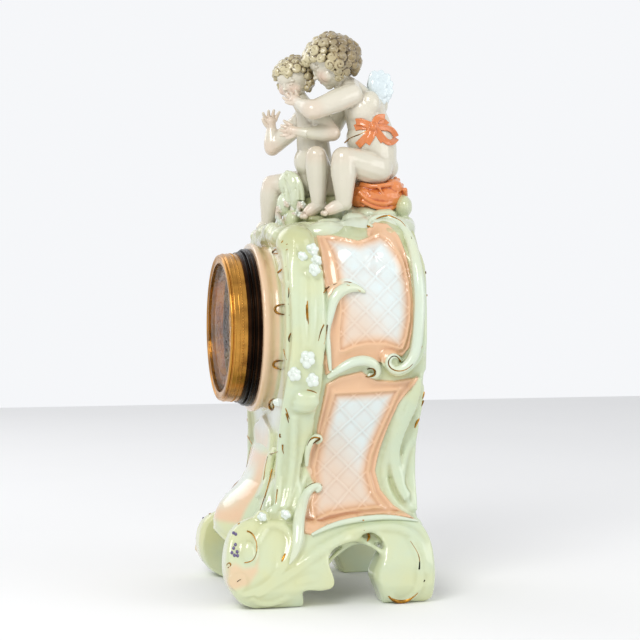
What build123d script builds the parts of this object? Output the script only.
from build123d import *
import os
from math import acos, cos, pi, radians, sin, sqrt, tan

os.makedirs("parts", exist_ok=True)

# Case, all of it glazed porcelain. X is the width, Y the depth with the dial at -Y, Z is up.
total_depth = 136.0
back_inset = 6.0
case_depth = 91.0
case_half_width = 66.0
case_height = 186.0
case_bottom_z = 58.0
case_wall = 5.0
front_flare = 13.0
flare_height = 41.0
top_half_width_share = 0.48
case_height_shares = (0.0, 0.215, 0.43, 0.625, 0.79, 0.915, 1.0)
case_width_shares = (0.79, 0.70, 0.925, 1.0, 0.95, 0.76, top_half_width_share)
flare_height_shares = (0.0, 0.45, 1.0)
flare_depth_shares = (1.0, 0.36, 0.0)
overrun = 10.0

# Round openings of the case, on the dial's axis
dial_z = 174.5
movement_bore_radius = 46.0
collar_depth = 12.0
collar_root_radius = 54.5
collar_neck_radius = 53.0
collar_lip_radius = 55.8
collar_lip_depth = 3.5

# Base
apron_bottom_z = 38.0
apron_half_width = 62.0
apron_front_flare = 12.0
apron_rear_flare = 3.0
apron_corner_radius = 12.0
foot_height = 58.0
foot_inner_x = 46.0
foot_outer_x = 75.0
front_foot_depth_shares = (
    (0.368, 0.0), (0.360, 0.207), (0.500, 0.328), (0.478, 0.517), (0.560, 0.690), (0.662, 0.800),
    (0.662, 0.900), (0.478, 0.897), (0.316, 0.965), (0.176, 0.990), (0.044, 0.862),
    (0.000, 0.586), (0.015, 0.241), (0.070, 0.069), (0.132, 0.0),
)
rear_foot_depth_shares = (
    (0.750, 0.0), (0.700, 0.276), (0.728, 0.500), (0.750, 0.655), (0.676, 0.790), (0.640, 0.800),
    (0.640, 0.900), (0.720, 0.900), (0.853, 0.965), (0.941, 0.862), (0.985, 0.620),
    (1.000, 0.293), (0.985, 0.052), (0.960, 0.0),
)
foot_width_shares = (
    (0.0, 0.0), (0.72, 0.0), (1.0, 0.22), (0.97, 0.52), (0.72, 0.78), (0.40, 1.0), (0.0, 1.0),
)

# Side panels: a lattice field inside a moulded frame, upper and lower
field_proud = 1.0
lattice_proud = 2.0
frame_proud = 3.0
lattice_bar = 1.3
lattice_pitch = 13.0
upper_panel_y = -4.0
upper_panel_z = 150.0
upper_panel_depth = 60.0
upper_panel_height = 84.0
lower_panel_y = -14.0
lower_panel_z = 58.0
lower_panel_depth = 68.0
lower_panel_height = 78.0
upper_panel_shares = (
    (0.01, 0.98), (0.22, 0.95), (0.45, 0.93), (0.66, 1.00), (0.83, 0.92), (0.95, 0.72),
    (1.0, 0.42), (0.94, 0.06), (0.72, 0.0), (0.46, 0.06), (0.22, 0.10), (0.04, 0.16), (0.0, 0.50),
)
upper_field_shares = (
    (0.10, 0.90), (0.28, 0.88), (0.46, 0.87), (0.66, 0.93), (0.80, 0.84), (0.88, 0.62),
    (0.90, 0.36), (0.86, 0.12), (0.70, 0.08), (0.46, 0.14), (0.24, 0.18), (0.13, 0.28), (0.12, 0.58),
)
lower_panel_shares = (
    (0.25, 0.98), (0.52, 0.92), (0.94, 1.0), (0.84, 0.70), (0.77, 0.44), (0.80, 0.16),
    (0.95, 0.0), (0.52, 0.0), (0.10, 0.02), (0.0, 0.14), (0.06, 0.44), (0.14, 0.74),
)
lower_field_shares = (
    (0.32, 0.87), (0.53, 0.84), (0.82, 0.90), (0.75, 0.62), (0.68, 0.40), (0.72, 0.16),
    (0.78, 0.08), (0.52, 0.07), (0.18, 0.08), (0.13, 0.20), (0.18, 0.46), (0.25, 0.70),
)

# Corner pilasters and the scrolls behind them
pilaster_proud = 6.0
pilaster_front_y = -35.0
pilaster_depth = 33.0
pilaster_height = 180.0
pilaster_shares = (
    (0.0, 0.0), (0.10, 0.20), (0.14, 0.40), (0.26, 0.62), (0.24, 0.84), (0.34, 1.0),
    (0.80, 1.0), (0.90, 0.86), (0.90, 0.60), (0.84, 0.40), (0.64, 0.22), (0.56, 0.0),
)
scroll_proud = 5.0
scroll_width = 6.5
scroll_end_radius = 6.0
scroll_y = 20.0
scroll_z = 146.0
scroll_depth = 42.0
scroll_height = 96.0
scroll_shares = (
    (0.02, 0.92), (0.22, 0.98), (0.50, 0.96), (0.76, 0.84), (0.92, 0.60), (0.94, 0.32),
    (0.82, 0.10), (0.56, 0.02), (0.42, 0.10),
)
strip_y = 44.0
strip_z = 60.0
strip_depth = 20.0
strip_height = 84.0
strip_shares = ((0.62, 1.0), (0.50, 0.74), (0.16, 0.46), (0.22, 0.22), (0.52, 0.06))

# Front cartouche under the dial, and the applied flowers
cartouche_half_width = 36.0
cartouche_bottom_z = 60.0
cartouche_height = 56.0
cartouche_proud = 3.0
cartouche_shares = (
    (0.0, 0.0), (0.55, 0.05), (1.0, 0.24), (0.74, 0.52), (0.82, 0.80), (0.36, 0.92), (0.0, 1.0),
)
flower_radius = 3.2
petal_radius = 2.6
petal_count = 5
flower_height_shares = (0.93, 0.86, 0.79, 0.44, 0.36, 0.29, 0.10)
flower_depth_shares = (0.62, 0.46, 0.66, 0.30, 0.16, 0.42, 0.12)

# Rockwork seat, a cap over the sloping top of the case
brow_height = 13.0
brow_depth = 17.0
rock_depth = 94.0
rock_low_z = 226.0
rock_height = 26.0
rock_half_width = 44.0
rock_side_shares = (
    (0.0, 0.16), (0.03, 0.36), (0.14, 0.56), (0.30, 0.68), (0.45, 0.81), (0.66, 0.87), (0.83, 1.0),
    (0.96, 0.94), (1.0, 0.70),
)
rock_front_shares = ((1.0, 0.0), (0.86, 0.50), (0.66, 0.90), (0.0, 1.04))
stool_height = 16.0
stool_half_width = 20.0
stool_middle_x = 4.0
stool_front_y = -6.0
stool_rear_y = 56.0
stool_corner_radius = 9.0
stool_taper = 4.0

# Two children, one of them winged. Places are shares of the child unit, from the case's top.
child_unit = 100.0
seat_place_y = 8.0
seated_head_radius = 12.8
seated_jaw_radius = 9.2
winged_head_radius = 15.0
winged_jaw_radius = 10.4
neck_radius = 6.0
curl_radius = 7.0
curl_rows = 2
curl_row_count = 8
curl_reach_share = 0.9
hairline_share = 0.35
seated_shares = {
    "crown": (-0.060, -0.164, 0.955), "jaw": (-0.050, -0.205, 0.860), "neck": (-0.040, -0.093, 0.750),
    "chest": (-0.040, -0.050, 0.570), "belly": (-0.040, -0.070, 0.400), "pelvis": (-0.040, -0.020, 0.280),
    "near_shoulder": (0.080, -0.020, 0.670), "near_elbow": (0.150, 0.050, 0.585),
    "near_wrist": (0.140, -0.147, 0.584), "near_hand": (0.080, -0.240, 0.610),
    "far_shoulder": (-0.170, -0.130, 0.670), "far_elbow": (-0.220, -0.295, 0.505),
    "far_wrist": (-0.220, -0.310, 0.630), "far_hand": (-0.220, -0.330, 0.710),
    "near_hip": (0.030, -0.020, 0.250), "near_knee": (0.150, -0.060, 0.450),
    "near_ankle": (0.130, -0.040, 0.100), "near_toe": (0.140, -0.130, 0.020),
    "far_hip": (-0.100, -0.060, 0.250), "far_knee": (-0.200, -0.286, 0.255),
    "far_ankle": (-0.200, -0.313, -0.030), "far_toe": (-0.200, -0.380, -0.070),
}
winged_shares = {
    "crown": (0.140, 0.062, 1.090), "jaw": (0.120, -0.010, 0.970), "neck": (0.140, 0.170, 0.920),
    "chest": (0.120, 0.240, 0.720), "belly": (0.120, 0.300, 0.550), "pelvis": (0.120, 0.360, 0.400),
    "near_shoulder": (0.240, 0.140, 0.800), "near_elbow": (0.280, -0.090, 0.665),
    "near_wrist": (0.220, -0.184, 0.710), "near_hand": (0.150, -0.230, 0.745),
    "far_shoulder": (0.000, 0.140, 0.790), "far_elbow": (-0.120, 0.120, 0.650),
    "far_wrist": (-0.220, 0.030, 0.680), "far_hand": (-0.230, -0.030, 0.710),
    "near_hip": (0.190, 0.340, 0.350), "near_knee": (0.270, 0.094, 0.420),
    "near_ankle": (0.265, 0.110, 0.120), "near_toe": (0.265, -0.020, 0.060),
    "far_hip": (0.050, 0.340, 0.330), "far_knee": (0.030, 0.190, 0.310),
    "far_ankle": (0.040, 0.220, 0.110), "far_toe": (0.040, 0.120, 0.070),
    "bow": (0.255, 0.290, 0.620),
}
wing_root_shares = {"near": (0.170, 0.300, 0.770), "far": (0.070, 0.300, 0.770)}
chest_radius = 12.0
belly_radius = 12.6
pelvis_radius = 13.5
shoulder_radius = 5.6
elbow_radius = 4.4
wrist_radius = 3.0
hand_radius = 3.6
hip_radius = 9.0
knee_radius = 6.6
calf_radius = 5.4
ankle_radius = 4.0
foot_radius = 3.8
toe_radius = 3.2
wing_thickness = 3.0
wing_height = 24.0
wing_depth = 15.0
wing_shares = (
    (0.0, 0.10), (0.10, 0.55), (0.30, 0.95), (0.62, 1.0), (0.95, 0.80), (1.0, 0.45), (0.72, 0.12),
    (0.30, 0.0),
)
bow_loop_radius = 4.2
bow_reach = 11.0
bow_rise_share = 0.25
bow_knot_radius = 3.2
bow_tail_radius = 2.2
drape_half_width = 17.0
drape_height = 20.0
drape_low_z = 251.0
drape_front_y = 22.0
drape_rear_y = 60.0
drape_middle_x = 13.0
drape_corner_radius = 8.0
drape_taper = 4.0
green_drape_radius = 7.0
green_drape_shares = ((-0.08, -0.16, 0.30), (-0.10, -0.24, 0.06))

# Bezel, all brass but the glass
bezel_flange_radius = 51.6
bezel_step_radius = 49.6
bezel_sleeve_radius = 45.8
bezel_sleeve_bore = 43.8
bezel_sleeve_length = 5.0
bezel_inner_radius = 40.0
bezel_flange_depth = 3.3
bezel_step_depth = 5.4
bezel_gap = 0.3
bezel_ring_radius = 48.7
bezel_ring_depth = 10.4
bezel_lip_depth = 2.6
bezel_lip_radius = 46.6
glass_radius = 44.0
glass_sight_radius = 42.6
glass_thickness = 2.0
glass_crown = 3.4
glass_clearance = 0.15
glass_seat_depth = 1.2
hinge_offset = 52.6
hinge_pin_radius = 0.9
hinge_knuckle_radius = 2.1
hinge_clearance = 0.05
hinge_length = 18.0
hinge_end_gap = 0.3
bezel_leaf_bite = 2.5

# Dial, hands and the wheels that drive the hands
dial_radius = 43.6
dial_thickness = 1.2
dial_foot_radius = 1.6
dial_foot_count = 3
dial_foot_ring = 34.0
dial_foot_turn_share = 0.25
dial_hole_radius = 3.8
centre_ornament_radius = 17.0
centre_ornament_thickness = 0.5
hand_thickness = 0.7
hour_hand_length = 24.0
minute_hand_length = 36.0
hand_width = 2.4
hand_eye_radius = 3.4
hand_boss_radius = 3.2
hour_hand_turn = 305.0
minute_hand_turn = 60.0
hour_hand_gap = 0.6
hand_to_hand_gap = 0.9
motion_module = 0.6
cannon_teeth = 12
minute_wheel_teeth = 36
minute_pinion_teeth = 10
hour_wheel_teeth = 40
motion_wheel_thickness = 1.4
motion_gap = 0.6
cannon_pipe_radius = 1.6
hour_pipe_radius = 2.9
running_clearance = 0.06

# Movement between two round plates
plate_radius = 40.0
plate_thickness = 2.0
plate_distance = 28.0
dial_to_plate = 8.3
pillar_radius = 2.5
pillar_ring = 35.0
pillar_count = 4
pillar_screw_radius = 2.6
pillar_screw_height = 1.6
arbor_radius = 1.1
pivot_radius = 0.8
pivot_gap = 0.2
stud_radius = 1.0
train_module = 0.45
barrel_module = 0.56
wheel_teeth = 60
pinion_teeth = 10
barrel_teeth = 60
centre_pinion_teeth = 12
escape_teeth = 30
wheel_thickness = 1.4
wheel_rim = 2.2
wheel_hub = 1.2
spoke_count = 5
spoke_window_share = 0.82
pinion_length = 4.0
pressure_angle = 25.0
addendum_share = 0.8
dedendum_share = 1.05
backlash_share = 0.10
centre_spread_share = 0.04
escape_drop = 22.0
escape_radius = 7.5
escape_root_share = 0.78
anchor_drop = 33.0
pallet_gap = 0.8
pallet_angle = 50.0
anchor_boss_radius = 2.0
pallet_thickness = 1.6
barrel_drum_radius = 15.4
barrel_length = 10.0
barrel_wall = 1.2
barrel_cover = 1.0
winding_radius = 2.4
winding_square = 3.2
dial_winding_radius = 4.2
going_wheel_y_shares = {"centre": 0.11, "third": 0.36, "barrel": 0.50, "escape": 0.74}

# Pendulum, hung behind the rear plate
pendulum_offset = 8.0
rod_radius = 0.9
rod_length = 92.0
bob_radius = 12.0
bob_thickness = 6.0
suspension_width = 5.0
suspension_height = 7.0
suspension_depth = 4.0
suspension_gap = 0.3
crutch_length = 26.0
crutch_width = 2.0
crutch_thickness = 1.0
crutch_fork_length = 6.0
crutch_setback = 2.6

# Straps, rear ring and rear door
strap_radius = 41.0
strap_thickness = 1.5
strap_width = 8.0
strap_angle = 45.0
rear_ring_radius = 51.0
rear_ring_bore = 36.0
rear_ring_thickness = 2.4
strap_screw_radius = 2.2
strap_screw_height = 1.6
door_radius = 38.4
door_thickness = 1.4
door_gap = 0.3
door_hinge_offset = 41.6
door_knuckle_radius = 1.6
door_pin_radius = 0.7
door_hinge_length = 15.0
door_knob_radius = 2.4
door_knob_height = 1.8

# Places worked out from the sizes above
case_back_y = total_depth / 2 - back_inset
case_front_y = case_back_y - case_depth
case_top_z = case_bottom_z + case_height
collar_front_y = case_front_y - collar_depth
flange_front_y = collar_front_y - bezel_flange_depth
bezel_rear_front_y = flange_front_y - bezel_step_depth
dial_back_y = flange_front_y
dial_front_y = dial_back_y - dial_thickness
front_plate_y = dial_back_y + dial_to_plate
between_y = front_plate_y + plate_thickness
rear_plate_y = between_y + plate_distance
movement_back_y = rear_plate_y + plate_thickness
pendulum_y = movement_back_y + pendulum_offset
bezel_ring_rear_y = bezel_rear_front_y - bezel_gap
bezel_ring_front_y = bezel_ring_rear_y - bezel_ring_depth
rock_top_z = case_top_z + rock_height
seat_middle_z = case_top_z
cannon_y = front_plate_y - motion_gap - motion_wheel_thickness
hour_hand_y = dial_front_y - centre_ornament_thickness - hour_hand_gap - hand_thickness
minute_hand_y = hour_hand_y - hand_to_hand_gap - hand_thickness
ring_rear_y = case_back_y + rear_ring_thickness
door_hinge_y = ring_rear_y + door_gap + door_knuckle_radius
dial_axis = Axis((0, 0, dial_z), (0, 1, 0))


def places(shares, start, size):
    """Points at shares of a size, from a start, in two or three directions."""
    return [tuple(s + share * d for s, share, d in zip(start, row, size)) for row in shares]


def save(name, shape):
    """Write one named sub-part."""
    export_step(shape, "parts/" + name + ".step")


def both_sides(name, shape):
    """Write a piece of the right side and its mirror image on the left."""
    save(name + "_right", shape)
    save(name + "_left", mirror(shape, about=Plane.YZ))


def disc(radius, front_y, rear_y, x=0, z=dial_z):
    """A round bar along Y."""
    place = Plane.XZ.offset(-rear_y) * Pos(x, z)
    return extrude(place * Circle(radius), amount=rear_y - front_y)


def ring(radius, bore, front_y, rear_y, x=0, z=dial_z):
    """A round bar along Y with a bore through it."""
    place = Plane.XZ.offset(-rear_y) * Pos(x, z)
    return extrude(place * (Circle(radius) - Circle(bore)), amount=rear_y - front_y)


def turned(outline):
    """A body turned about the dial's axis from (radius, y) points."""
    face = Plane((0, 0, dial_z)) * make_face(Polyline(*outline, close=True))
    return revolve(face, axis=dial_axis)


def block_between(low, high):
    """A box between two corners."""
    size = [h - l for l, h in zip(low, high)]
    middle = [(h + l) / 2 for l, h in zip(low, high)]
    return Pos(*middle) * Box(*size)


def upright(radius, x, y, low_z, high_z):
    """A round bar along Z."""
    return Pos(x, y, (low_z + high_z) / 2) * Cylinder(radius, high_z - low_z)


# Porcelain case

def case_face(extra):
    """The case's outline seen from the front, made wider by extra on each side."""
    right = []
    for z_share, x_share in zip(case_height_shares, case_width_shares):
        right.append((case_half_width * x_share + extra, case_bottom_z + case_height * z_share))
    left = [(-x, z) for x, z in reversed(right)]
    outline = Spline(*right) + Line(right[-1], left[0]) + Spline(*left) + Line(left[-1], right[0])
    return make_face(outline)


def case_block(extra, front_y, rear_y):
    """The case's outline from the front, as a block between two depths."""
    return extrude(Plane.XZ.offset(-rear_y) * case_face(extra), amount=rear_y - front_y)


def flare_profile(inset):
    """The case seen from the side: a straight front that flares out at the foot."""
    front = []
    for z_share, y_share in zip(flare_height_shares, flare_depth_shares):
        front.append((case_front_y + inset - front_flare * y_share, case_bottom_z + flare_height * z_share))
    top_z = case_top_z - inset
    rear_y = case_back_y - inset
    brow = (case_front_y + inset, top_z - brow_height)
    top_front = (case_front_y + inset + brow_depth, top_z)
    rear_low = (rear_y, case_bottom_z)
    outline = Spline(*front, tangents=[(front_flare, flare_height), (0, flare_height)])
    outline += Polyline(front[-1], brow, top_front, (rear_y, top_z), rear_low, front[0])
    return make_face(outline)


def case_solid(extra, inset):
    """The case's filled shape, wider by extra and set in from front, top and back by inset."""
    profile = extrude(Plane.YZ * flare_profile(inset), amount=case_half_width + overrun, both=True)
    return case_block(extra, case_front_y - front_flare - overrun, case_back_y + overrun) & profile


def make_case_body():
    """The hollow case, open below, with a round opening at the front and the back."""
    hollow = case_solid(-case_wall, case_wall)
    body = case_solid(0, 0) - hollow
    return body - disc(movement_bore_radius, case_front_y - overrun, case_back_y + overrun)


def make_drum_collar():
    """The flared round collar that carries the bezel."""
    lip_y = collar_front_y + collar_lip_depth
    return turned([
        (movement_bore_radius, collar_front_y), (collar_lip_radius, collar_front_y),
        (collar_lip_radius, lip_y), (collar_neck_radius, lip_y + collar_lip_depth),
        (collar_root_radius, case_front_y), (movement_bore_radius, case_front_y),
    ])


def apron_section(z, half_width, front_y, rear_y, corner):
    """One level of the apron."""
    middle_y = (front_y + rear_y) / 2
    return Pos(0, middle_y, z) * RectangleRounded(2 * half_width, rear_y - front_y, corner)


def apron_solid(inset):
    """The apron's flared outside, or its hollow when inset."""
    top_half = case_half_width * case_width_shares[0] - inset
    top_front = case_front_y - front_flare + inset
    top = apron_section(case_bottom_z, top_half, top_front, case_back_y - inset, apron_corner_radius - inset)
    low_front = top_front - apron_front_flare
    low_rear = case_back_y + apron_rear_flare - inset
    low = apron_section(apron_bottom_z, apron_half_width - inset, low_front, low_rear,
                        apron_corner_radius - inset)
    return loft([low, top])


def make_foot(shares):
    """A scrolled corner foot of the right side, clear of the apron."""
    outline = places(shares, (-total_depth / 2, 0), (total_depth, foot_height))
    side_view = make_face(Spline(*outline[1:-1]) + Polyline(outline[-2], outline[-1], outline[0], outline[1]))
    side = extrude(Plane.YZ.offset(foot_inner_x) * side_view, amount=foot_outer_x - foot_inner_x)
    front_points = places(foot_width_shares, (foot_inner_x, 0), (foot_outer_x - foot_inner_x, foot_height))
    front_face = make_face(Polyline(front_points[-1], front_points[0], front_points[1])
                           + Spline(*front_points[1:]))
    front = extrude(Plane.XZ.offset(-total_depth) * front_face, amount=2 * total_depth)
    return (side & front) - apron_solid(0)


# Relief on the sides of the case

def side_relief(face, proud):
    """A layer on the right side of the case inside an outline seen from the side."""
    window = extrude(Plane.YZ * face, amount=case_half_width + overrun)
    front_y = case_front_y - front_flare
    layer = case_block(proud, front_y, case_back_y) - case_block(0, front_y, case_back_y)
    return window & layer


def closed_outline(shares, start_y, start_z, depth, height):
    """A smooth closed outline on the side of the case."""
    points = places(shares, (start_y, start_z), (depth, height))
    return make_face(Spline(*points, periodic=True))


def lattice_sketch(start_y, start_z, depth, height):
    """Crossed diagonal bars over one panel."""
    bars = []
    reach = depth + height
    middle = (start_y + depth / 2, start_z + height / 2)
    count = int(reach / lattice_pitch / 2)
    for turn in (45, -45):
        for step in range(-count, count + 1):
            bar = Rectangle(2 * reach, lattice_bar)
            bars.append(Pos(*middle) * Rot(0, 0, turn) * Pos(0, step * lattice_pitch) * bar)
    return Sketch() + bars


def outside_of(face, proud):
    """Everything inside an outline seen from the side that lies outside a layer of the case."""
    window = extrude(Plane.YZ * face, amount=case_half_width + overrun)
    return window - case_block(proud, case_front_y - front_flare, case_back_y)


def make_side_panel(panel_shares, field_shares, start_y, start_z, depth, height):
    """A moulded frame round a sunk lattice field, in one piece."""
    outer = closed_outline(panel_shares, start_y, start_z, depth, height)
    field = closed_outline(field_shares, start_y, start_z, depth, height)
    cells = field - lattice_sketch(start_y, start_z, depth, height)
    panel = side_relief(outer, frame_proud) - outside_of(field, lattice_proud)
    return panel - outside_of(cells, field_proud)


def pilaster_face():
    """The pilaster's outline seen from the side."""
    points = places(pilaster_shares, (pilaster_front_y, case_bottom_z), (pilaster_depth, pilaster_height))
    middle = len(points) // 2
    outline = Spline(*points[:middle]) + Line(points[middle - 1], points[middle])
    outline += Spline(*points[middle:]) + Line(points[-1], points[0])
    return make_face(outline)


def scroll_face():
    """A C-shaped scroll with a round curl at each end."""
    points = places(scroll_shares, (scroll_y, scroll_z), (scroll_depth, scroll_height))
    band = trace(Spline(*points), scroll_width)
    band += Pos(*points[0]) * Circle(scroll_end_radius)
    return band + Pos(*points[-1]) * Circle(scroll_end_radius)


def strip_face():
    """The hollowed scroll below it, along the rear edge of the waist."""
    points = places(strip_shares, (strip_y, strip_z), (strip_depth, strip_height))
    return trace(Spline(*points), scroll_width)


def make_pilaster():
    """The corner pilaster, standing proud of the case's side."""
    return side_relief(pilaster_face(), pilaster_proud)


def make_rear_scroll(taken):
    """The C-scroll and the strip below it, clear of the panels."""
    scroll = side_relief(scroll_face(), scroll_proud)
    strip = side_relief(strip_face(), scroll_proud)
    return cut_by(scroll + strip, taken)


def make_cartouche():
    """The moulded shield on the front below the dial."""
    right = places(cartouche_shares, (0, cartouche_bottom_z), (cartouche_half_width, cartouche_height))
    left = [(-x, z) for x, z in reversed(right[:-1])]
    face = make_face(Spline(*right[1:], *left[:-1]) + Line(left[-2], right[1]))
    block = extrude(Plane.XZ * face, amount=case_depth)
    shifted = Pos(0, -cartouche_proud, 0) * case_solid(0, 0)
    return (block & shifted) - case_solid(0, 0)


def cut_by(shape, others):
    """A shape with the space of its neighbours taken out."""
    for other in others:
        shape = shape - other
    return shape


def ball(centre, radius):
    """A ball at a point."""
    return Pos(*centre) * Sphere(radius)


def flower(centre):
    """Round petals about a middle, facing sideways."""
    petals = [ball(centre, petal_radius)]
    for number in range(petal_count):
        angle = 2 * pi * number / petal_count
        place = centre + Vector(0, flower_radius * cos(angle), flower_radius * sin(angle))
        petals.append(ball(place, petal_radius))
    return Part() + petals


def half_width_at(z):
    """The case's half width at a height, between its named levels."""
    share = (z - case_bottom_z) / case_height
    for low in range(len(case_height_shares) - 1):
        if share <= case_height_shares[low + 1]:
            break
    span = case_height_shares[low + 1] - case_height_shares[low]
    part_way = (share - case_height_shares[low]) / span
    low_width = case_width_shares[low]
    return case_half_width * (low_width + part_way * (case_width_shares[low + 1] - low_width))


def make_flowers(taken):
    """Applied flowers down both pilasters, each cut to the surface that it sits on."""
    group = []
    for z_share, y_share in zip(flower_height_shares, flower_depth_shares):
        z = case_bottom_z + pilaster_height * z_share
        y = pilaster_front_y + pilaster_depth * y_share
        x = half_width_at(z) + pilaster_proud
        bloom = cut_by(flower(Vector(x, y, z)), taken)
        group.append(bloom)
        group.append(mirror(bloom, about=Plane.YZ))
    return Compound(children=[solid for bloom in group for solid in bloom.solids()])


# Rock seat and cloths

def tapered_block(low_z, height, half_width, front_y, rear_y, middle_x, corner, taper):
    """A rounded block that narrows upwards."""
    middle_y = (front_y + rear_y) / 2
    low = RectangleRounded(2 * half_width, rear_y - front_y, corner)
    high = RectangleRounded(2 * (half_width - taper), rear_y - front_y - 2 * taper, corner)
    return loft([Pos(middle_x, middle_y, low_z) * low, Pos(middle_x, middle_y, low_z + height) * high])


def make_rock_seat(taken):
    """The rockwork cap and the stool on it, cut to the case and to the children."""
    front_y = case_back_y - rock_depth
    side_points = places(rock_side_shares, (front_y, rock_low_z), (rock_depth, rock_height))
    corner_points = ((case_back_y, rock_low_z), (front_y, rock_low_z))
    side_face = make_face(Spline(*side_points) + Polyline(side_points[-1], *corner_points, side_points[0]))
    side = extrude(Plane.YZ * side_face, amount=case_half_width, both=True)
    right = places(rock_front_shares, (0, rock_low_z), (rock_half_width, rock_height))
    left = [(-x, z) for x, z in reversed(right[:-1])]
    front_face = make_face(Spline(*right, *left) + Line(left[-1], right[0]))
    front = extrude(Plane.XZ.offset(-total_depth) * front_face, amount=2 * total_depth)
    stool = tapered_block(case_top_z, stool_height, stool_half_width, stool_front_y, stool_rear_y,
                          stool_middle_x, stool_corner_radius, stool_taper)
    return cut_by((side & front) + stool, [case_solid(0, 0)] + taken)


def make_orange_drapery(taken):
    """The cloth under the winged child."""
    cloth = tapered_block(drape_low_z, drape_height, drape_half_width, drape_front_y, drape_rear_y,
                          drape_middle_x, drape_corner_radius, drape_taper)
    return cut_by(cloth, taken)


def make_green_drapery(taken):
    """The cloth that falls in front of the seated child."""
    high, low = [at({"place": row}, "place") for row in green_drape_shares]
    return cut_by(limb(high, low, green_drape_radius, green_drape_radius), taken)


# Children

def at(shares, name):
    """A named place on a child."""
    x, y, z = shares[name]
    return Vector(child_unit * x, seat_place_y + child_unit * y, case_top_z + child_unit * z)


def limb(start, end, start_radius, end_radius):
    """A round-ended limb that tapers between two places."""
    along = end - start
    length = along.length
    middle_radius = (start_radius + end_radius) / 2
    outline = CenterArc((0, 0), start_radius, -90, 90)
    outline += Spline((start_radius, 0), (middle_radius, length / 2), (end_radius, length),
                      tangents=[(0, 1), (0, 1)])
    outline += CenterArc((0, length), end_radius, 0, 90)
    outline += Line((0, length + end_radius), (0, -start_radius))
    turned_limb = revolve(Plane.XZ * make_face(outline), axis=Axis.Z)
    return Plane(origin=start, z_dir=along) * turned_limb


def make_torso(shares):
    """Pelvis, belly, chest, neck and the bar of the shoulders."""
    return Part() + [
        limb(at(shares, "pelvis"), at(shares, "belly"), pelvis_radius, belly_radius),
        limb(at(shares, "belly"), at(shares, "chest"), belly_radius, chest_radius),
        limb(at(shares, "chest"), at(shares, "neck"), chest_radius, neck_radius),
        limb(at(shares, "near_shoulder"), at(shares, "far_shoulder"), shoulder_radius, shoulder_radius),
    ]


def make_head(shares, head_radius, jaw_radius, taken):
    """A round head with a small jaw, cut to the neck."""
    head = limb(at(shares, "crown"), at(shares, "jaw"), head_radius, jaw_radius)
    return cut_by(head, taken)


def make_hair(shares, head_radius, taken):
    """Rows of curls over the crown, away from the face."""
    crown = at(shares, "crown")
    upward = (crown - at(shares, "jaw")).normalized()
    face_plane = Plane(origin=crown, z_dir=upward)
    reach = head_radius * curl_reach_share
    curls = [ball(crown + upward * reach, curl_radius)]
    for row in range(1, curl_rows + 1):
        tilt = pi / 2 * row / curl_rows
        count = curl_row_count * row // curl_rows + 1
        for number in range(count):
            turn = 2 * pi * number / count
            ring_reach = reach * sin(tilt)
            place = Vector(ring_reach * cos(turn), ring_reach * sin(turn), reach * cos(tilt))
            centre = face_plane.from_local_coords(place)
            if row < curl_rows or centre.Y > crown.Y - head_radius * hairline_share:
                curls.append(ball(centre, curl_radius))
    return cut_by(Part() + curls, taken)


def make_arm(shares, side):
    """Upper arm, forearm and hand of one side."""
    shoulder, elbow, wrist, hand = [at(shares, side + joint) for joint in
                                    ("_shoulder", "_elbow", "_wrist", "_hand")]
    return Part() + [
        limb(shoulder, elbow, shoulder_radius, elbow_radius),
        limb(elbow, wrist, elbow_radius, wrist_radius),
        limb(wrist, hand, wrist_radius, hand_radius),
    ]


def make_leg(shares, side):
    """Thigh, shin and foot of one side."""
    hip, knee, ankle, toe = [at(shares, side + joint) for joint in ("_hip", "_knee", "_ankle", "_toe")]
    calf = knee + (ankle - knee) / 3
    return Part() + [
        limb(hip, knee, hip_radius, knee_radius),
        limb(knee, calf, knee_radius, calf_radius),
        limb(calf, ankle, calf_radius, ankle_radius),
        limb(ankle, toe, foot_radius, toe_radius),
    ]


def pair(shapes, taken):
    """Separate solids of one node, each cut to its neighbours."""
    cut = [cut_by(shape, taken) for shape in shapes]
    return Compound(children=[solid for shape in cut for solid in shape.solids()])


def make_wing(side):
    """A small flat wing that stands up from the shoulder blade."""
    root = at(wing_root_shares, side)
    face = closed_outline(wing_shares, root.Y, root.Z, wing_depth, wing_height)
    plane = Plane.YZ.offset(root.X - wing_thickness / 2)
    return extrude(plane * face, amount=wing_thickness)


def make_bow(taken):
    """Knot, two loops and two tails of the ribbon at the waist."""
    knot = at(winged_shares, "bow")
    parts = [ball(knot, bow_knot_radius)]
    for side in (-1, 1):
        loop_end = knot + Vector(0, side * bow_reach, bow_reach * bow_rise_share)
        tail_end = knot + Vector(0, side * bow_reach, -bow_reach)
        parts.append(limb(knot, loop_end, bow_knot_radius, bow_loop_radius))
        parts.append(limb(knot, tail_end, bow_tail_radius, bow_tail_radius))
    return cut_by(Part() + parts, taken)


# Bezel, glass and their hinge

def knuckle(offset, y, low_z, high_z, radius, bore, leaf_low, leaf_high):
    """A bored knuckle of an upright hinge on the left side, with the leaf that joins it."""
    low_x, low_y = leaf_low
    high_x, high_y = leaf_high
    leaf = block_between((low_x, low_y, low_z), (high_x, high_y, high_z))
    return upright(radius, -offset, y, low_z, high_z) + leaf - upright(bore, -offset, y, low_z, high_z)


def outer_knuckles(offset, y, length, radius, bore, leaf_low, leaf_high):
    """The two fixed knuckles above and below the moving one."""
    sixth = length / 6
    low = knuckle(offset, y, dial_z - 3 * sixth, dial_z - sixth, radius, bore, leaf_low, leaf_high)
    high = knuckle(offset, y, dial_z + sixth, dial_z + 3 * sixth, radius, bore, leaf_low, leaf_high)
    return low + high


def middle_knuckle(offset, y, length, radius, bore, leaf_low, leaf_high):
    """The moving knuckle between them."""
    half = length / 6 - hinge_end_gap
    return knuckle(offset, y, dial_z - half, dial_z + half, radius, bore, leaf_low, leaf_high)


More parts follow.
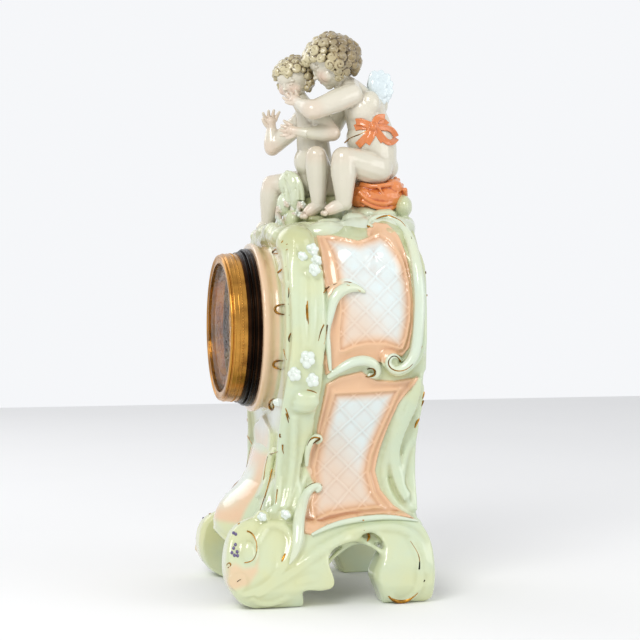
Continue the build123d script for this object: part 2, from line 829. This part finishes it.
def make_bezel_rear_ring():
    """The fixed stepped ring, with a sleeve in the collar and two hinge knuckles."""
    dial_seat = bezel_sleeve_bore + running_clearance
    sleeve_y = collar_front_y + bezel_sleeve_length
    body = turned([
        (bezel_inner_radius, flange_front_y), (dial_seat, flange_front_y),
        (dial_seat, bezel_rear_front_y), (bezel_step_radius, bezel_rear_front_y),
        (bezel_step_radius, flange_front_y), (bezel_flange_radius, flange_front_y),
        (bezel_flange_radius, collar_front_y), (bezel_sleeve_radius, collar_front_y),
        (bezel_sleeve_radius, sleeve_y), (bezel_sleeve_bore, sleeve_y),
        (bezel_sleeve_bore, collar_front_y), (bezel_inner_radius, collar_front_y),
    ])
    leaf_low = (-hinge_offset, bezel_rear_front_y)
    leaf_high = (-dial_seat - bezel_leaf_bite, bezel_rear_front_y + hinge_knuckle_radius)
    return body + outer_knuckles(hinge_offset, bezel_rear_front_y, hinge_length, hinge_knuckle_radius,
                                 hinge_pin_radius, leaf_low, leaf_high)


def make_bezel_front_ring():
    """The hinged ring that holds the glass behind its front lip."""
    lip_rear_y = bezel_ring_front_y + glass_seat_depth
    seat = glass_radius + glass_clearance
    body = turned([
        (seat, bezel_ring_rear_y), (bezel_ring_radius, bezel_ring_rear_y),
        (bezel_ring_radius, bezel_ring_front_y + bezel_lip_depth), (bezel_lip_radius, bezel_ring_front_y),
        (glass_sight_radius, bezel_ring_front_y), (glass_sight_radius, lip_rear_y), (seat, lip_rear_y),
    ])
    leaf_low = (-hinge_offset, bezel_rear_front_y - hinge_knuckle_radius)
    leaf_high = (-seat - bezel_leaf_bite, bezel_ring_rear_y)
    return body + middle_knuckle(hinge_offset, bezel_rear_front_y, hinge_length, hinge_knuckle_radius,
                                 hinge_pin_radius + hinge_clearance, leaf_low, leaf_high)


def make_glass():
    """A domed glass with a flat rim."""
    rim_y = bezel_ring_front_y + glass_seat_depth
    dome = glass_sight_radius - glass_clearance
    apex_y = rim_y - glass_crown
    back_apex_y = apex_y + glass_thickness
    slope = (dome, 2 * glass_crown)
    outline = Spline((0, apex_y), (dome, rim_y), tangents=[(dome, 0), slope])
    outline += Polyline((dome, rim_y), (glass_radius, rim_y), (glass_radius, rim_y + glass_thickness),
                        (dome, rim_y + glass_thickness))
    outline += Spline((dome, rim_y + glass_thickness), (0, back_apex_y),
                      tangents=[(-dome, -2 * glass_crown), (-dome, 0)])
    outline += Line((0, back_apex_y), (0, apex_y))
    return revolve(Plane((0, 0, dial_z)) * make_face(outline), axis=dial_axis)


def make_hinge_pin(offset, y, radius, length):
    """A plain pin through all three knuckles of a hinge."""
    return upright(radius, -offset, y, dial_z - length / 2, dial_z + length / 2)


# Dial, hands and motion work. Flat places here are (x, height over the dial's centre).

def make_dial():
    """The dial with its centre hole, winding hole and feet on the front plate."""
    body = disc(dial_radius, dial_front_y, dial_back_y)
    for number in range(dial_foot_count):
        angle = 2 * pi * (number + dial_foot_turn_share) / dial_foot_count
        x, z = dial_foot_ring * cos(angle), dial_z + dial_foot_ring * sin(angle)
        body += disc(dial_foot_radius, dial_back_y, front_plate_y, x, z)
    body -= disc(dial_hole_radius, dial_front_y - overrun, front_plate_y)
    winding_x, winding_z = barrel_place
    return body - disc(dial_winding_radius, dial_front_y - overrun, front_plate_y, winding_x,
                       dial_z + winding_z)


def make_dial_centre():
    """A thin gilt rosette about the dial's centre, pierced for the hands and the key."""
    petals = [Pos(centre_ornament_radius / 2 * cos(turn), centre_ornament_radius / 2 * sin(turn))
              * Circle(centre_ornament_radius / 2) for turn in rosette_turns]
    face = Sketch() + petals - Circle(dial_hole_radius)
    winding_x, winding_z = barrel_place
    face -= Pos(winding_x, winding_z) * Circle(dial_winding_radius)
    front_y = dial_front_y - centre_ornament_thickness
    plane = Plane(origin=(0, dial_front_y, dial_z), x_dir=(1, 0, 0), z_dir=(0, -1, 0))
    return extrude(plane * face, amount=dial_front_y - front_y)


def make_hand(length, turn, front_y, bore):
    """A pierced hand with a boss, a ring and a point."""
    tip = Pos(0, length * 2 / 3) * Polygon((-hand_width / 2, 0), (hand_width / 2, 0), (0, length / 3),
                                           align=None)
    shaft = Pos(0, length / 3) * Rectangle(hand_width / 2, 2 * length / 3)
    eye = Pos(0, length * 2 / 3) * Circle(hand_eye_radius)
    face = Sketch() + [Circle(hand_boss_radius + hand_width / 2), shaft, eye, tip]
    face -= Pos(0, length * 2 / 3) * Circle(hand_eye_radius - hand_width / 2)
    face -= Circle(bore)
    plane = Plane(origin=(0, front_y + hand_thickness, dial_z), x_dir=(1, 0, 0), z_dir=(0, -1, 0))
    return extrude(plane * Rot(0, 0, -turn) * face, amount=hand_thickness)


# Gears

def tooth_half_angle(radius, pitch, half_at_pitch, base):
    """Half the angle that a tooth takes at a radius, on an involute flank."""
    if radius <= base:
        radius = base
    roll = acos(base / radius)
    pitch_roll = acos(base / pitch)
    return half_at_pitch + (tan(pitch_roll) - pitch_roll) - (tan(roll) - roll)


def gear_face(teeth, module, turn):
    """A gear's outline with a tooth centred at an angle of turn radians."""
    pitch = module * teeth / 2
    base = pitch * cos(radians(pressure_angle))
    tip = pitch + addendum_share * module
    root = pitch - dedendum_share * module
    half_at_pitch = pi / teeth / 2 * (1 - backlash_share)
    radii = (root, (root + pitch) / 2, pitch, (pitch + tip) / 2, tip)
    points = []
    for number in range(teeth):
        middle = turn + 2 * pi * number / teeth
        flank = [(radius, tooth_half_angle(radius, pitch, half_at_pitch, base)) for radius in radii]
        for radius, half in flank:
            points.append((radius * cos(middle - half), radius * sin(middle - half)))
        for radius, half in reversed(flank):
            points.append((radius * cos(middle + half), radius * sin(middle + half)))
    return make_face(Polyline(*points, close=True))


def gear_distance(first_teeth, second_teeth, module):
    """The distance between two meshing gears, with a little play."""
    return module * (first_teeth + second_teeth) / 2 + centre_spread_share * module


def meshing_turn(first_turn, first_teeth, second_teeth, direction):
    """The turn that puts a gap of the second gear on a tooth of the first, met in a direction."""
    pitch_share = (direction - first_turn) / (2 * pi / first_teeth) % 1
    return direction + pi - (1 / 2 - pitch_share) * 2 * pi / second_teeth


def gear(teeth, module, turn, place, front_y, thickness):
    """A solid gear at a flat place."""
    x, z = place
    plane = Plane.XZ.offset(-front_y - thickness) * Pos(x, dial_z + z)
    return extrude(plane * gear_face(teeth, module, turn), amount=thickness)


def spoked(wheel, radius, hub, place, front_y, thickness):
    """A wheel with round windows between its spokes."""
    x, z = place
    middle = (radius + hub) / 2
    window = (radius - hub) / 2 * spoke_window_share
    for number in range(spoke_count):
        turn = 2 * pi * number / spoke_count
        hole_x, hole_z = x + middle * cos(turn), dial_z + z + middle * sin(turn)
        wheel -= disc(window, front_y - overrun, front_y + thickness + overrun, hole_x, hole_z)
    return wheel


# Places of the arbors over the dial's centre, and the turns that mesh their gears
centre_place = (0, 0)
train_distance = gear_distance(wheel_teeth, pinion_teeth, train_module)
barrel_place = (0, -gear_distance(barrel_teeth, centre_pinion_teeth, barrel_module))
escape_place = (0, escape_drop)
third_angle = acos(sqrt(1 - (escape_drop / 2 / train_distance) ** 2))
third_place = (train_distance * cos(third_angle), train_distance * sin(third_angle))
motion_distance = gear_distance(cannon_teeth, minute_wheel_teeth, motion_module)
hour_module = motion_distance / ((minute_pinion_teeth + hour_wheel_teeth) / 2 + centre_spread_share)
minute_place = (-motion_distance, 0)
anchor_place = (0, anchor_drop)
rosette_turns = [pi / 3 * number for number in range(6)]


def wheel_y(name):
    """The front of a wheel between the plates."""
    return between_y + plate_distance * going_wheel_y_shares[name]


def arbor(place, front_y, rear_y, radius):
    """A round arbor at a flat place."""
    x, z = place
    return disc(radius, front_y, rear_y, x, dial_z + z)


def pivoted(place, radius):
    """An arbor between the plates with a finer pivot in each."""
    body = arbor(place, between_y + pivot_gap, rear_plate_y - pivot_gap, radius)
    return body + arbor(place, front_plate_y + pivot_gap, movement_back_y, pivot_radius)


def make_centre_wheel():
    """Centre arbor with its wheel and pinion, carrying the minute hand at its front end."""
    wheel = gear(wheel_teeth, train_module, 0, centre_place, wheel_y("centre"), wheel_thickness)
    wheel = spoked(wheel, train_module * wheel_teeth / 2 - wheel_rim, arbor_radius + wheel_hub, centre_place,
                   wheel_y("centre"), wheel_thickness)
    pinion_y = wheel_y("barrel") + wheel_thickness / 2 - pinion_length / 2
    pinion = gear(centre_pinion_teeth, barrel_module, 0, centre_place, pinion_y, pinion_length)
    shaft = arbor(centre_place, minute_hand_y - hand_thickness, rear_plate_y - pivot_gap, arbor_radius)
    pivot = arbor(centre_place, rear_plate_y - pivot_gap, movement_back_y, pivot_radius)
    return wheel + pinion + shaft + pivot


def make_third_wheel():
    """Third arbor: its pinion is driven by the centre wheel and its wheel drives the escape pinion."""
    turn = meshing_turn(0, wheel_teeth, pinion_teeth, third_angle)
    pinion_y = wheel_y("centre") + wheel_thickness / 2 - pinion_length / 2
    pinion = gear(pinion_teeth, train_module, turn, third_place, pinion_y, pinion_length)
    wheel = gear(wheel_teeth, train_module, 0, third_place, wheel_y("third"), wheel_thickness)
    wheel = spoked(wheel, train_module * wheel_teeth / 2 - wheel_rim, arbor_radius + wheel_hub, third_place,
                   wheel_y("third"), wheel_thickness)
    return wheel + pinion + pivoted(third_place, arbor_radius)


def make_escape_wheel():
    """Escape arbor with its pinion and a wheel of pointed teeth."""
    direction = pi - third_angle
    turn = meshing_turn(0, wheel_teeth, pinion_teeth, direction)
    pinion_y = wheel_y("third") + wheel_thickness / 2 - pinion_length / 2
    pinion = gear(pinion_teeth, train_module, turn, escape_place, pinion_y, pinion_length)
    points = []
    for number in range(escape_teeth):
        low_turn = 2 * pi * number / escape_teeth
        high_turn = 2 * pi * (number + 1 / 4) / escape_teeth
        root = escape_radius * escape_root_share
        points.append((root * cos(low_turn), root * sin(low_turn)))
        points.append((escape_radius * cos(high_turn), escape_radius * sin(high_turn)))
    x, z = escape_place
    rear_y = wheel_y("escape") + wheel_thickness
    plane = Plane.XZ.offset(-rear_y) * Pos(x, dial_z + z)
    wheel = extrude(plane * make_face(Polyline(*points, close=True)), amount=wheel_thickness)
    return wheel + pinion + pivoted(escape_place, arbor_radius)


def make_going_barrel():
    """The spring barrel, a closed drum with a toothed edge that runs on the winding arbor."""
    turn = meshing_turn(0, centre_pinion_teeth, barrel_teeth, -pi / 2)
    rim = gear(barrel_teeth, barrel_module, turn, barrel_place, wheel_y("barrel"), wheel_thickness)
    drum_y = wheel_y("barrel") + wheel_thickness
    drum = arbor(barrel_place, drum_y, drum_y + barrel_length, barrel_drum_radius)
    hollow_radius = barrel_drum_radius - barrel_wall
    hollow = arbor(barrel_place, drum_y, drum_y + barrel_length - barrel_cover, hollow_radius)
    bore_radius = winding_radius + running_clearance
    bore = arbor(barrel_place, wheel_y("barrel") - overrun, rear_plate_y, bore_radius)
    return rim + drum - hollow - bore


def make_winding_arbor():
    """The arbor through the barrel, square where the key fits."""
    shaft = arbor(barrel_place, front_plate_y, movement_back_y, winding_radius)
    x, z = barrel_place
    half = winding_square / 2
    square = block_between((x - half, dial_front_y + hand_thickness, dial_z + z - half),
                           (x + half, front_plate_y, dial_z + z + half))
    return shaft + square


def make_anchor():
    """Pallets over the escape wheel, their arbor, and the crutch behind the rear plate."""
    x, z = anchor_place
    reach = escape_radius + pallet_gap + pallet_thickness / 2
    tip_x = reach * sin(radians(pallet_angle))
    tip_z = escape_drop + reach * cos(radians(pallet_angle))
    elbow_z = (tip_z + z) / 2
    arms = trace(Polyline((-tip_x, tip_z), (-tip_x - pallet_thickness, elbow_z), (x, z),
                          (tip_x + pallet_thickness, elbow_z), (tip_x, tip_z)), pallet_thickness)
    arms += Pos(x, z) * Circle(anchor_boss_radius)
    pallet_plane = Plane.XZ.offset(-wheel_y("escape") - wheel_thickness) * Pos(0, dial_z)
    pallets = extrude(pallet_plane * arms, amount=wheel_thickness)
    crutch_y = pendulum_y - crutch_setback
    low_z = dial_z + z - crutch_length
    bar = block_between((-crutch_width / 2, crutch_y - crutch_thickness, low_z),
                        (crutch_width / 2, crutch_y, dial_z + z))
    inner = rod_radius + suspension_gap
    outer = inner + crutch_thickness
    yoke = block_between((-outer, crutch_y - crutch_thickness, low_z), (outer, crutch_y, low_z + crutch_width))
    fork_y = crutch_y + crutch_fork_length
    prongs = block_between((-outer, crutch_y, low_z), (-inner, fork_y, low_z + crutch_width))
    prongs += block_between((inner, crutch_y, low_z), (outer, fork_y, low_z + crutch_width))
    staff = pivoted(anchor_place, arbor_radius) + arbor(anchor_place, rear_plate_y, crutch_y, pivot_radius)
    boss = arbor(anchor_place, crutch_y - crutch_thickness, crutch_y, anchor_boss_radius)
    return pallets + staff + bar + yoke + prongs + boss


def make_suspension_block():
    """The cock on the rear plate that holds the pendulum, slotted for its spring."""
    x, z = anchor_place
    low_z = dial_z + z + anchor_boss_radius + suspension_gap
    half = suspension_width / 2
    rear_y = pendulum_y + suspension_depth / 2
    block = block_between((-half, movement_back_y, low_z), (half, rear_y, low_z + suspension_height))
    slot_half = rod_radius + suspension_gap
    slot = block_between((-slot_half, pendulum_y - slot_half, low_z - overrun),
                         (slot_half, rear_y + overrun, low_z + suspension_height / 3))
    return block - slot


def make_pendulum():
    """Rod and bob, hanging from the slot of the block."""
    x, z = anchor_place
    top_z = dial_z + z + anchor_boss_radius + suspension_gap + suspension_height / 3 - suspension_gap
    bob_z = dial_z + z - rod_length
    rod = upright(rod_radius, x, pendulum_y, bob_z - bob_radius, top_z)
    bob = disc(bob_radius, pendulum_y - bob_thickness / 2, pendulum_y + bob_thickness / 2, x, bob_z)
    return rod + fillet(bob.edges(), bob_thickness / 4)


def make_minute_wheel():
    """The wheel between the cannon pinion and the hour wheel, on a stud of the front plate."""
    turn = meshing_turn(0, cannon_teeth, minute_wheel_teeth, pi)
    wheel = gear(minute_wheel_teeth, motion_module, turn, minute_place, cannon_y, motion_wheel_thickness)
    pinion_y = cannon_y - motion_gap - motion_wheel_thickness
    pinion = gear(minute_pinion_teeth, hour_module, 0, minute_place, pinion_y,
                  motion_gap + motion_wheel_thickness)
    return wheel + pinion - arbor(minute_place, pinion_y - overrun, front_plate_y,
                                  stud_radius + running_clearance)


def make_cannon_pinion():
    """The pinion and pipe on the centre arbor that carry the minute hand."""
    pinion = gear(cannon_teeth, motion_module, 0, centre_place, cannon_y, motion_wheel_thickness)
    pipe = arbor(centre_place, minute_hand_y + hand_thickness, cannon_y + motion_wheel_thickness,
                 cannon_pipe_radius)
    return pinion + pipe - arbor(centre_place, minute_hand_y - overrun, front_plate_y, arbor_radius)


def make_hour_wheel():
    """The hour wheel and its pipe, running on the cannon pinion's pipe."""
    turn = meshing_turn(0, minute_pinion_teeth, hour_wheel_teeth, 0)
    wheel_front = cannon_y - motion_gap - motion_wheel_thickness
    wheel = gear(hour_wheel_teeth, hour_module, turn, centre_place, wheel_front, motion_wheel_thickness)
    pipe = arbor(centre_place, hour_hand_y + hand_thickness, wheel_front, hour_pipe_radius)
    return wheel + pipe - arbor(centre_place, hour_hand_y - overrun, front_plate_y,
                                cannon_pipe_radius + running_clearance)


def make_plate(front_y, holes):
    """A round plate with a hole for each (place, radius)."""
    plate = disc(plate_radius, front_y, front_y + plate_thickness)
    for place, radius in holes:
        plate -= arbor(place, front_y - overrun, front_y + plate_thickness + overrun,
                       radius + running_clearance)
    return plate


def make_front_plate():
    """The plate behind the dial, with the stud of the minute wheel."""
    holes = [(centre_place, arbor_radius), (third_place, pivot_radius), (escape_place, pivot_radius),
             (anchor_place, pivot_radius), (barrel_place, winding_radius)]
    stud_y = cannon_y - motion_gap - motion_wheel_thickness
    return make_plate(front_plate_y, holes) + arbor(minute_place, stud_y, front_plate_y, stud_radius)


def make_rear_plate():
    """The plate that carries the pendulum's cock."""
    holes = [(place, pivot_radius) for place in (centre_place, third_place, escape_place, anchor_place)]
    return make_plate(rear_plate_y, holes + [(barrel_place, winding_radius)])


def around(count, radius_of_ring, start_angle, radius, front_y, rear_y):
    """Round bars evenly spaced about the dial's axis, one solid each."""
    group = []
    for number in range(count):
        angle = radians(start_angle) + 2 * pi * number / count
        group.append(disc(radius, front_y, rear_y, radius_of_ring * cos(angle),
                          dial_z + radius_of_ring * sin(angle)))
    return Compound(children=[solid for bar in group for solid in bar.solids()])


# Straps, rear ring and door

def make_straps():
    """Two flat straps from the bezel to the rear ring, one each side of the movement."""
    straps = []
    for turn in (strap_angle, strap_angle + 180):
        low = (strap_radius, collar_front_y, -strap_width / 2)
        high = (strap_radius + strap_thickness, case_back_y, strap_width / 2)
        strap = Pos(0, 0, dial_z) * Rot(0, -turn, 0) * block_between(low, high)
        straps.append(strap)
    return Compound(children=[solid for strap in straps for solid in strap.solids()])


def make_rear_ring():
    """The ring on the back of the case that the strap screws pull in, with two hinge knuckles."""
    body = ring(rear_ring_radius, rear_ring_bore, case_back_y, ring_rear_y)
    leaf_low = (-door_hinge_offset - door_knuckle_radius, ring_rear_y - door_gap)
    leaf_high = (-door_hinge_offset + door_knuckle_radius, door_hinge_y)
    return body + outer_knuckles(door_hinge_offset, door_hinge_y, door_hinge_length, door_knuckle_radius,
                                 door_pin_radius, leaf_low, leaf_high)


def make_rear_door():
    """The round door over the ring, with its knuckle and a turned knob."""
    rear_y = ring_rear_y + door_gap + door_thickness
    body = disc(door_radius, ring_rear_y + door_gap, rear_y)
    body += disc(door_knob_radius, rear_y, rear_y + door_knob_height, door_radius - 3 * door_knob_radius)
    leaf_low = (-door_hinge_offset, ring_rear_y + door_gap)
    leaf_high = (-door_radius + door_knob_radius, rear_y)
    return body + middle_knuckle(door_hinge_offset, door_hinge_y, door_hinge_length, door_knuckle_radius,
                                 door_pin_radius + hinge_clearance, leaf_low, leaf_high)


# The children and what they sit on
winged_torso = make_torso(winged_shares)
winged_head = make_head(winged_shares, winged_head_radius, winged_jaw_radius, [winged_torso])
winged_hair = make_hair(winged_shares, winged_head_radius, [winged_head, winged_torso])
winged_legs = pair([make_leg(winged_shares, "near"), make_leg(winged_shares, "far")], [winged_torso])
winged_arms = pair([make_arm(winged_shares, "near"), make_arm(winged_shares, "far")],
                   [winged_torso, winged_head, winged_hair])
winged_child = [winged_torso, winged_head, winged_hair, winged_legs, winged_arms]
seated_torso = cut_by(make_torso(seated_shares), winged_child)
seated_head = make_head(seated_shares, seated_head_radius, seated_jaw_radius, [seated_torso] + winged_child)
seated_hair = make_hair(seated_shares, seated_head_radius, [seated_head, seated_torso] + winged_child)
seated_legs = pair([make_leg(seated_shares, "near"), make_leg(seated_shares, "far")],
                   [seated_torso, case_solid(0, 0)] + winged_child)
seated_arms = pair([make_arm(seated_shares, "near"), make_arm(seated_shares, "far")],
                   [seated_torso, seated_head, seated_hair, seated_legs] + winged_child)
drum_collar = make_drum_collar()
orange_drapery = make_orange_drapery([winged_torso, winged_legs, seated_torso])
green_drapery = make_green_drapery([seated_torso, seated_legs, seated_arms, case_solid(0, 0)])
rock_seat = make_rock_seat([winged_torso, winged_legs, seated_torso, seated_legs, orange_drapery,
                            green_drapery, drum_collar])

save("winged_child_torso", winged_torso)
save("winged_child_head", winged_head)
save("winged_child_hair", winged_hair)
save("winged_child_legs", winged_legs)
save("winged_child_arms", winged_arms)
save("winged_child_wings", pair([make_wing("near"), make_wing("far")], [winged_torso]))
save("ribbon_bow", make_bow([winged_torso, winged_legs]))
save("seated_child_torso", seated_torso)
save("seated_child_head", seated_head)
save("seated_child_hair", seated_hair)
save("seated_child_legs", seated_legs)
save("seated_child_arms", seated_arms)
save("orange_drapery", orange_drapery)
save("green_drapery", green_drapery)
save("rock_seat", rock_seat)

# The case
upper_panel = make_side_panel(upper_panel_shares, upper_field_shares, upper_panel_y, upper_panel_z,
                              upper_panel_depth, upper_panel_height)
lower_panel = make_side_panel(lower_panel_shares, lower_field_shares, lower_panel_y, lower_panel_z,
                              lower_panel_depth, lower_panel_height)
upper_panel = cut_by(upper_panel, [rock_seat])
lower_panel = cut_by(lower_panel, [upper_panel])
pilaster = cut_by(make_pilaster(), [upper_panel, lower_panel, rock_seat])
rear_scroll = make_rear_scroll([upper_panel, lower_panel, rock_seat])
front_foot = make_foot(front_foot_depth_shares)
save("case_body", make_case_body())
save("drum_collar", drum_collar)
save("base_apron", apron_solid(0) - apron_solid(case_wall))
both_sides("front_foot", front_foot)
both_sides("rear_foot", cut_by(make_foot(rear_foot_depth_shares), [front_foot]))
both_sides("upper_side_panel", upper_panel)
both_sides("lower_side_panel", lower_panel)
both_sides("corner_pilaster", pilaster)
both_sides("rear_scroll", rear_scroll)
save("front_cartouche", make_cartouche())
save("applied_flowers", make_flowers([pilaster, case_solid(0, 0), upper_panel, lower_panel, drum_collar]))

# Bezel, dial and hands
save("bezel_rear_ring", make_bezel_rear_ring())
save("bezel_front_ring", make_bezel_front_ring())
save("bezel_glass", make_glass())
save("bezel_hinge_pin", make_hinge_pin(hinge_offset, bezel_rear_front_y, hinge_pin_radius, hinge_length))
save("dial", make_dial())
save("dial_centre", make_dial_centre())
save("hour_hand", make_hand(hour_hand_length, hour_hand_turn, hour_hand_y, hour_pipe_radius))
save("minute_hand", make_hand(minute_hand_length, minute_hand_turn, minute_hand_y, cannon_pipe_radius))

# Movement
save("movement_front_plate", make_front_plate())
save("movement_rear_plate", make_rear_plate())
save("movement_pillars", around(pillar_count, pillar_ring, 45, pillar_radius, between_y, rear_plate_y))
save("pillar_screws", around(pillar_count, pillar_ring, 45, pillar_screw_radius, movement_back_y,
                             movement_back_y + pillar_screw_height))
save("going_barrel", make_going_barrel())
save("winding_arbor", make_winding_arbor())
save("centre_wheel", make_centre_wheel())
save("third_wheel", make_third_wheel())
save("escape_wheel", make_escape_wheel())
save("anchor_and_crutch", make_anchor())
save("suspension_block", make_suspension_block())
save("pendulum", make_pendulum())
save("minute_wheel", make_minute_wheel())
save("cannon_pinion", make_cannon_pinion())
save("hour_wheel", make_hour_wheel())

# Back of the case
save("movement_straps", make_straps())
save("strap_screws", around(2, strap_radius + strap_thickness / 2, strap_angle, strap_screw_radius,
                            ring_rear_y, ring_rear_y + strap_screw_height))
save("rear_ring", make_rear_ring())
save("rear_door", make_rear_door())
save("rear_door_pin", make_hinge_pin(door_hinge_offset, door_hinge_y, door_pin_radius, door_hinge_length))
